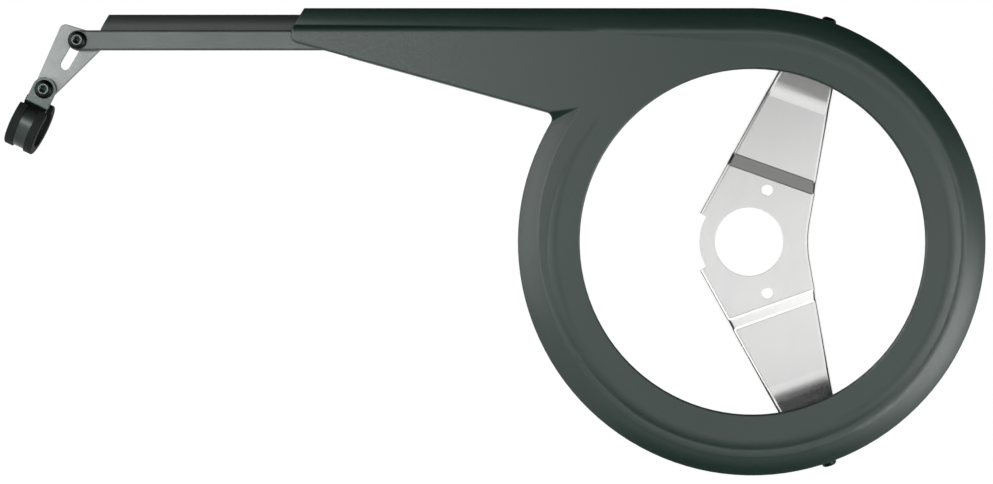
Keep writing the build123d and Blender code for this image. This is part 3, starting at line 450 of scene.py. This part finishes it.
@dataclass(frozen=True)
class Screw:
    """Button head screw with a hex socket and a rolled thread, in millimetres.

    Args:
        thread_r: Radius over the thread.
        pitch: Rise of the thread in a turn.
        head_r: Radius of the head.
        head_height: Height of the head.
        flats: Width of the socket across flats.
        depth: Depth of the socket.
        round_share: Share of the head's height that is rounded.
        socket_chamfer: Width and depth of the chamfer round the socket.
        drill: Radius and depth of the drill's mark under the socket.
        neck: Length without thread under the head.
        point_share: Length of the point, as a share of the thread's radius.
        thread_depth_share: Depth of the thread, as a share of its pitch.
        flat_share: Share of its depth by which the flanks would pass crest and root, which are flat.
        head_steps: Rings over the dome.
        turn_steps: Rings in a turn of the thread.
        rubbed_and_sheen: Bands of the socket's chamfer and flat land, paler from wear and painted
            reflection.
    """

    thread_r: float
    pitch: float
    head_r: float
    head_height: float
    flats: float
    depth: float
    round_share: float = 0.8
    socket_chamfer: float = 0.3
    drill: float = 0.4
    neck: float = 0.6
    point_share: float = 0.2
    thread_depth_share: float = 0.54
    flat_share: float = 0.125
    head_steps: int = 7
    turn_steps: int = 8
    # The socket's chamfer and land take the paler steel: partly wear, partly a painted reflection.
    rubbed_and_sheen: range = range(2, 4)

    def head(self) -> list[Ring]:
        """Rings from the bottom of the socket over the dome to the underside.

        Returns:
            The rings.
        """
        top = self.head_height
        dome = self.head_height * self.round_share
        land_r = self.head_r - dome
        mouth_r = self.flats / 2 / math.cos(math.pi / HEX_SIDES) + self.socket_chamfer
        rings = [
            circle(self.drill, top - self.depth - self.drill),
            hexagon(self.flats, top - self.depth),
            hexagon(self.flats, top - self.socket_chamfer),
            circle(mouth_r, top),
        ]
        for step in range(self.head_steps):
            turn = math.pi / 2 * step / (self.head_steps - 1)
            rings.append(circle(land_r + dome * math.sin(turn), top - dome * (1 - math.cos(turn))))
        rings.append(circle(self.head_r, 0))
        return rings

    def ridge(self, phase: float) -> float:
        """Height of the thread from root, 0, to crest, 1, at a share of a turn."""
        slope = (1 + 2 * self.flat_share) * abs(2 * phase - 1) - self.flat_share
        return min(max(slope, 0), 1)

    def thread(self, length: float) -> list[Ring]:
        """Rings down the shank, round which the ridge climbs one pitch a turn.

        Args:
            length: Length under the head.

        Returns:
            The rings, from the neck to the point.
        """
        point = self.thread_r * self.point_share
        low = self.thread_r - self.pitch * self.thread_depth_share
        run = length - self.neck - point
        count = round(run / self.pitch * self.turn_steps)
        rings = [circle(low, 0), circle(low, -self.neck / 2)]
        for step in range(count + 1):
            height = -self.neck - run * step / count
            phases = [(height / self.pitch - index / RING_POINTS) % 1 for index in range(RING_POINTS)]
            rings.append(ring([low + (self.thread_r - low) * self.ridge(phase) for phase in phases], height))
        rings.append(circle(low - point / 2, -length))
        return rings

    def rings(self, length: float) -> list[Ring]:
        """All rings of a screw that is that long under its head."""
        return self.head() + self.thread(length)


@dataclass(frozen=True)
class Nut:
    """Hex nut with chamfered corners and a countersunk bore, in millimetres.

    Args:
        bore_r: Radius of the bore.
        flats: Width across flats.
        height: Height of the nut.
        face_share: Radius of the round face, as a share of half the flats.
        chamfer_deg: Slope of the chamfered corners.
        countersink: Width and depth of the countersink.
        steps: Steps of a chamfer.
    """

    bore_r: float
    flats: float
    height: float
    face_share: float = 0.95
    chamfer_deg: float = 30.0
    countersink: float = 0.3
    steps: int = 4

    def corner(self, height: float, way: int) -> list[Ring]:
        """Rings of a chamfer, from the round face to the full hexagon.

        Args:
            height: Height of the face.
            way: 1 where the nut lies above the face, -1 where it lies below.

        Returns:
            The rings.
        """
        face_r = self.flats / 2 * self.face_share
        corner_r = self.flats / 2 / math.cos(math.pi / HEX_SIDES)
        fall = (corner_r - face_r) * math.tan(math.radians(self.chamfer_deg))
        shares = [step / self.steps for step in range(self.steps + 1)]
        return [
            hexagon(self.flats, height + way * fall * share, face_r + (corner_r - face_r) * share)
            for share in shares
        ]

    def rings(self) -> list[Ring]:
        """Rings round the nut's section, from the bore over the seat and back through the far face.

        Returns:
            The rings.
        """
        mouth_r = self.bore_r + self.countersink
        seat = [circle(self.bore_r, -self.countersink), circle(mouth_r, 0)]
        back = [circle(mouth_r, -self.height), circle(self.bore_r, self.countersink - self.height)]
        return seat + self.corner(0, -1) + self.corner(-self.height, 1)[::-1] + back


M5_SCREW = Screw(thread_r=2.5, pitch=0.8, head_r=4.75, head_height=2.75, flats=3.0, depth=1.6)
M5_NUT = Nut(bore_r=2.55, flats=8.0, height=4.0)
M4_SCREW = Screw(thread_r=2.0, pitch=0.7, head_r=3.8, head_height=2.3, flats=2.5, depth=1.3)
M4_NUT = Nut(bore_r=2.05, flats=7.0, height=3.2)


@dataclass
class SubAssembly:
    """Pieces that ride on one body.

    Args:
        body: Name of the body.
    """

    body: str

    def dress(self, shop: Workshop, node: str, finish: Finish) -> None:
        """Give a solid its material.

        Args:
            shop: Where materials are made.
            node: Name of the solid.
            finish: Its finish.
        """
        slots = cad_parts[node].data.materials
        slots.clear()
        slots.append(shop.material(finish))
        LOG.info("%s dressed in %s on %s", node, finish.name, self.body)

    def fit(self, piece: bpy.types.Object, node: str, slot: str) -> None:
        """Let a modelled piece stand for a solid.

        Args:
            piece: The piece, in place.
            node: Name of the solid that it stands for.
            slot: Slot of the record that its finish belongs to; not used.
        """
        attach(piece, self.body)
        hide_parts(node)
        LOG.info("%s built for %s on %s", piece.name, node, self.body)


@dataclass
class GuardAssembly(SubAssembly):
    """Moulded ring and arm, the stamped bracket and the screws through the rim, in millimetres.

    Args:
        body: Name of the body.
        screw: Sizes of the rim's screws.
        nut: Sizes of their nuts.
        screw_length: Length of a screw under its head.
        rim_r: Distance of the screws' seats from the crank axle.
        nut_seat_r: Distance of the nuts' seats from the crank axle.
        screw_out: Distance of the screws outboard of the bottom bracket's seat.
        spread_deg: Angle of each screw from the level line through the axle.
        sides: 1 for the upper screw, -1 for the lower one.
    """

    body: str = "guard"
    screw: Screw = M4_SCREW
    nut: Nut = M4_NUT
    screw_length: float = 9.0
    rim_r: float = 118.0
    nut_seat_r: float = 113.6
    screw_out: float = 12.0
    spread_deg: float = 70.5
    sides: tuple[int, int] = (1, -1)

    def rim_place(self, side: int, radius: float) -> Matrix:
        """Frame on a rim screw's axis.

        Args:
            side: 1 for the upper screw, -1 for the lower one.
            radius: Distance from the crank axle.

        Returns:
            The frame, its Z pointing away from the axle.
        """
        turn = math.radians(self.spread_deg) * side
        along = Vector((math.cos(turn), 0, math.sin(turn)))
        across = Vector((-math.sin(turn), 0, math.cos(turn)))
        origin = (along * radius - Vector((0, self.screw_out, 0))) * MM
        return upright(origin, along, across)

    def build(self, shop: Workshop) -> None:
        """Dress the shell and the bracket, and build the rim's screws and nuts.

        Args:
            shop: Where materials are made.
        """
        self.dress(shop, "guard_shell", GUARD_PLASTIC)
        self.dress(shop, "bb_bracket", BRACKET_STEEL)
        screws = Skin("rim_screws_threaded")
        nuts = Skin("rim_nuts_chamfered")
        for side in self.sides:
            seat = self.rim_place(side, self.rim_r)
            screws.grow(self.screw.rings(self.screw_length), seat, False, self.screw.rubbed_and_sheen)
            nuts.grow(self.nut.rings(), self.rim_place(side, self.nut_seat_r), True)
        black = [shop.material(BLACK_STEEL), shop.material(RUBBED_AND_SHEEN_STEEL)]
        self.fit(screws.piece(black), "rim_screws", "black_steel")
        self.fit(nuts.piece([shop.material(ZINC_STEEL)]), "rim_nuts", "zinc_steel")


@dataclass
class StayAssembly(SubAssembly):
    """Sliding bar with the channel over the chain and the rivets that join them.

    Args:
        body: Name of the body.
    """

    body: str = "stay"

    def build(self, shop: Workshop) -> None:
        """Dress the bar, the channel and the rivets.

        Args:
            shop: Where materials are made.
        """
        self.dress(shop, "stay_bar", BAR_ALUMINIUM)
        self.dress(shop, "stay_extension", EXTENSION_PLASTIC)
        self.dress(shop, "stay_rivets", ZINC_STEEL)


@dataclass
class BoltedAssembly(SubAssembly):
    """Pieces held by one bolt across the bike, with a nut behind.

    Args:
        body: Name of the body.
        bolt_node: Solid of the bolt.
        nut_node: Solid of the nut.
        screw: Sizes of the bolt.
        nut: Sizes of the nut.
    """

    bolt_node: str = ""
    nut_node: str = ""
    screw: Screw = M5_SCREW
    nut: Nut = M5_NUT

    @staticmethod
    def outboard(node: str, inboard_of_front: float) -> Matrix:
        """Frame on a fastener's axis, facing outboard.

        Args:
            node: Solid of the fastener.
            inboard_of_front: Distance of the frame behind the solid's front, in millimetres.

        Returns:
            The frame.
        """
        low, high = (Vector(corner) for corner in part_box(node))
        middle = (low + high) / 2
        seat = Vector((middle.x, low.y + inboard_of_front * MM, middle.z))
        return upright(seat, Vector((0, -1, 0)), Vector((1, 0, 0)))

    def build_bolt(self, shop: Workshop) -> None:
        """Build the bolt and its nut where their solids are.

        Args:
            shop: Where materials are made.
        """
        low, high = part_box(self.bolt_node)
        length = (high[1] - low[1]) / MM - self.screw.head_height
        seat = self.outboard(self.bolt_node, self.screw.head_height)
        bolt = Skin(self.bolt_node + "_threaded")
        bolt.grow(self.screw.rings(length), seat, False, self.screw.rubbed_and_sheen)
        nut = Skin(self.nut_node + "_chamfered")
        nut.grow(self.nut.rings(), self.outboard(self.nut_node, 0), True)
        black = [shop.material(BLACK_STEEL), shop.material(RUBBED_AND_SHEEN_STEEL)]
        self.fit(bolt.piece(black), self.bolt_node, "black_steel")
        self.fit(nut.piece([shop.material(ZINC_STEEL)]), self.nut_node, "zinc_steel")


@dataclass
class PivotAssembly(BoltedAssembly):
    """Bolt of the link with its spacer, washer and nut, which turn with the link.

    Args:
        body: Name of the body.
        bolt_node: Solid of the bolt.
        nut_node: Solid of the nut.
    """

    body: str = "pivot"
    bolt_node: str = "link_bolt"
    nut_node: str = "link_nut"

    def build(self, shop: Workshop) -> None:
        """Build the bolt and nut, and dress the spacer and the washer.

        Args:
            shop: Where materials are made.
        """
        self.build_bolt(shop)
        self.dress(shop, "link_spacer", ZINC_STEEL)
        self.dress(shop, "link_washer", ZINC_STEEL)


@dataclass
class LinkAssembly(SubAssembly):
    """Slotted plate between the stay and the clamp.

    Args:
        body: Name of the body.
    """

    body: str = "link"

    def build(self, shop: Workshop) -> None:
        """Dress the plate."""
        self.dress(shop, "link_plate", LINK_ALUMINIUM)


@dataclass
class ClampAssembly(BoltedAssembly):
    """Strap with its rubber lining, and the bolt, washer and nut through its ears.

    Args:
        body: Name of the body.
        bolt_node: Solid of the bolt.
        nut_node: Solid of the nut.
    """

    body: str = "clamp"
    bolt_node: str = "clamp_bolt"
    nut_node: str = "clamp_nut"

    def build(self, shop: Workshop) -> None:
        """Dress the strap, the lining and the washer, and build the bolt and nut.

        Args:
            shop: Where materials are made.
        """
        self.dress(shop, "clamp_strap", STRAP_STEEL)
        self.dress(shop, "clamp_liner", LINER_RUBBER)
        self.dress(shop, "clamp_washer", ZINC_STEEL)
        self.build_bolt(shop)


@dataclass(frozen=True)
class Lamp:
    """Soft rectangular lamp, in metres and watts.

    Args:
        name: Name of the lamp.
        place: Where it stands.
        size: Width and height.
        power: Watts.
    """

    name: str
    place: Place
    size: tuple[float, float]
    power: float


@dataclass(frozen=True)
class Card:
    """Level card that the guard mirrors in place of the white room, in metres.

    Args:
        name: Name of the card.
        place: Place of its middle.
        size: Length along X and along Y.
        colour: Colour of its felt, sRGB hex.
    """

    name: str
    place: Place
    size: tuple[float, float]
    colour: str


@dataclass
class Studio:
    """Camera, lamps, pale floor and the shade cards over, under and before the guard, in metres.

    Args:
        distance: Distance of the camera from the guard's face.
        face_y: Place of that face along Y.
        view_x: Place along X that the camera looks at.
        view_z: Place along Z that the camera looks at.
        frame_width: Width of the picture at the face.
        sensor: Width of the camera's sensor, in millimetres.
        floor_z: Height of the floor.
        floor_size: Length of the floor's sides.
        floor_colour: Colour of the floor's paint, sRGB hex.
        floor_glow: Strength of the glow that keeps the floor white to look at.
        room_white: Strength at which the room shows as white.
        sky: Strength of the room's light on the guard.
        cards: The shade cards.
        lamps: The lamps.
    """

    distance: float = 1.4
    face_y: float = -0.022
    view_x: float = -0.1289
    view_z: float = -0.0001
    frame_width: float = 0.4995
    sensor: float = 36.0
    floor_z: float = -0.75
    floor_size: float = 16.0
    floor_colour: str = "#bcbcbb"
    floor_glow: float = 0.91
    room_white: float = 1.0
    sky: float = 0.18
    cards: tuple[Card, ...] = (
        Card("card_above", (0.3, 0.04, 0.43), (1.6, 0.5), "#404040"),
        Card("card_middle", (0.3, -0.34, 0.43), (1.6, 0.26), "#9c9c9c"),
        Card("card_near", (0.3, -0.83, 0.43), (1.6, 0.72), "#8c8c8c"),
        Card("card_front", (0.3, -2.0, 0.43), (1.6, 1.62), "#0c0c0c"),
        Card("card_below", (0.0, -0.169, -0.6), (0.8, 0.378), "#101010"),
        Card("card_far", (0.1, -2.2, 0.2), (0.5, 1.4), "#606060"),
        Card("card_low", (0.05, -1.4, -0.25), (0.6, 1.0), "#606060"),
    )
    lamps: tuple[Lamp, ...] = (
        Lamp("lamp_left", (-1.45, -0.75, 0.35), (1.1, 1.7), 16.0),
        Lamp("lamp_right", (0.85, -0.65, -0.4), (0.9, 0.62), 10.5),
        Lamp("lamp_arm", (-0.82, -2.2, 0.24), (1.2, 0.36), 20.0),
        Lamp("lamp_low", (0.35, -2.4, -0.12), (2.4, 0.14), 0.2),
        Lamp("lamp_face", (1.05, -2.4, -0.1), (0.9, 0.5), 9.0),
    )

    def camera(self) -> None:
        """Look straight at the guard's face, from far off."""
        lens = bpy.data.cameras.new("camera")
        lens.sensor_width = self.sensor
        lens.lens = self.sensor * self.distance / self.frame_width
        eye = bpy.data.objects.new("camera", lens)
        eye.location = (self.view_x, self.face_y - self.distance, self.view_z)
        eye.rotation_euler = (math.pi / 2, 0, 0)
        bpy.context.scene.collection.objects.link(eye)
        bpy.context.scene.camera = eye

    @staticmethod
    def shown_rays(tree: Tree) -> Socket:
        """Rays that show the background itself, straight or in metal and glass.

        Args:
            tree: Tree that gets the nodes.

        Returns:
            1 for such a ray, 0 for the rest.
        """
        path = add_node(tree, "ShaderNodeLightPath")
        mirror = add_node(
            tree, "ShaderNodeMath",
            {0: path.outputs["Is Camera Ray"], 1: path.outputs["Is Glossy Ray"]}, operation="MAXIMUM",
        )
        return add_node(
            tree, "ShaderNodeMath",
            {0: mirror.outputs["Value"], 1: path.outputs["Is Transmission Ray"]}, operation="MAXIMUM",
        ).outputs["Value"]

    def world(self) -> None:
        """White to look at, and an even grey light on the guard."""
        world = bpy.data.worlds.new("studio")
        world.use_nodes = True
        bpy.context.scene.world = world
        tree = world.node_tree
        tree.nodes.clear()
        white = linear("#ffffff")
        light = add_node(tree, "ShaderNodeBackground", {"Color": white, "Strength": self.sky})
        shown = add_node(tree, "ShaderNodeBackground", {"Color": white, "Strength": self.room_white})
        both = add_node(
            tree, "ShaderNodeMixShader",
            {0: self.shown_rays(tree), 1: light.outputs[0], 2: shown.outputs[0]},
        )
        add_node(tree, "ShaderNodeOutputWorld", {"Surface": both.outputs[0]})

    @staticmethod
    def plate(name: str, centre: Place, size: tuple[float, float]) -> bpy.types.Object:
        """Add a flat level plate to the stage.

        Args:
            name: Name of the plate.
            centre: Place of its middle.
            size: Length along X and along Y.

        Returns:
            The plate.
        """
        half_x, half_y = size[0] / 2, size[1] / 2
        mesh = bpy.data.meshes.new(name)
        corners = [(-half_x, -half_y, 0), (half_x, -half_y, 0), (half_x, half_y, 0), (-half_x, half_y, 0)]
        mesh.from_pydata(corners, [], [(0, 1, 2, 3)])
        plate = bpy.data.objects.new(name, mesh)
        plate.location = centre
        bpy.context.scene.collection.objects.link(plate)
        return plate

    @staticmethod
    def matt(name: str, colour: str) -> tuple[bpy.types.Material, bpy.types.Node]:
        """Matt paint of the stage.

        Args:
            name: Name of the paint.
            colour: Its colour, sRGB hex.

        Returns:
            The material and its shader, which isn't joined to an output yet.
        """
        paint = bpy.data.materials.new(name)
        paint.use_nodes = True
        paint.node_tree.nodes.clear()
        return paint, add_node(paint.node_tree, "ShaderNodeBsdfDiffuse", {"Color": linear(colour)})

    def floor(self) -> None:
        """Pale floor that stays white to look at and takes a soft shadow."""
        floor = self.plate("floor", (0, 0, self.floor_z), (self.floor_size, self.floor_size))
        paint, matt = self.matt("floor_paint", self.floor_colour)
        tree = paint.node_tree
        glow = add_node(tree, "ShaderNodeEmission", {"Strength": self.floor_glow})
        lit = add_node(tree, "ShaderNodeAddShader", {0: matt.outputs[0], 1: glow.outputs[0]})
        both = add_node(
            tree, "ShaderNodeMixShader",
            {0: self.shown_rays(tree), 1: matt.outputs[0], 2: lit.outputs[0]},
        )
        add_node(tree, "ShaderNodeOutputMaterial", {"Surface": both.outputs[0]})
        floor.data.materials.append(paint)

    def shade(self, card: Card) -> None:
        """Hang a card up, out of the camera's sight.

        Args:
            card: Its place, size and colour.
        """
        plate = self.plate(card.name, card.place, card.size)
        plate.visible_camera = False
        felt, matt = self.matt(card.name + "_felt", card.colour)
        add_node(felt.node_tree, "ShaderNodeOutputMaterial", {"Surface": matt.outputs[0]})
        plate.data.materials.append(felt)

    @staticmethod
    def flags() -> bpy.types.Collection:
        """Keep the lamps off the bright bracket, which they would turn white from some sides.

        Returns:
            Group of what the lamps leave out.
        """
        group = bpy.data.collections.new("lamp_flags")
        group.objects.link(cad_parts["bb_bracket"])
        group.collection_objects[0].light_linking.link_state = "EXCLUDE"
        return group

    def softbox(self, lamp: Lamp, flags: bpy.types.Collection) -> None:
        """Stand a lamp up and aim it at the guard.

        Args:
            lamp: Its place, size and power.
            flags: Pieces that it doesn't light.
        """
        light = bpy.data.lights.new(lamp.name, "AREA")
        light.shape = "RECTANGLE"
        light.size, light.size_y = lamp.size
        light.energy = lamp.power
        stand = bpy.data.objects.new(lamp.name, light)
        stand.location = lamp.place
        aim = Vector((self.view_x, 0, 0)) - Vector(lamp.place)
        stand.rotation_euler = aim.to_track_quat("-Z", "Y").to_euler()
        stand.light_linking.receiver_collection = flags
        bpy.context.scene.collection.objects.link(stand)

    def build(self) -> None:
        """Set the whole studio up."""
        self.camera()
        self.world()
        self.floor()
        for card in self.cards:
            self.shade(card)
        flags = self.flags()
        for lamp in self.lamps:
            self.softbox(lamp, flags)
        bpy.context.scene.view_settings.view_transform = "Standard"


def main() -> None:
    """Build and dress each sub-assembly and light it."""
    logging.basicConfig(level=logging.INFO, format="%(message)s")
    shop = Workshop()
    for assembly in (GuardAssembly(), StayAssembly(), PivotAssembly(), LinkAssembly(), ClampAssembly()):
        assembly.build(shop)
    Studio().build()


if __name__ == "__main__":
    main()
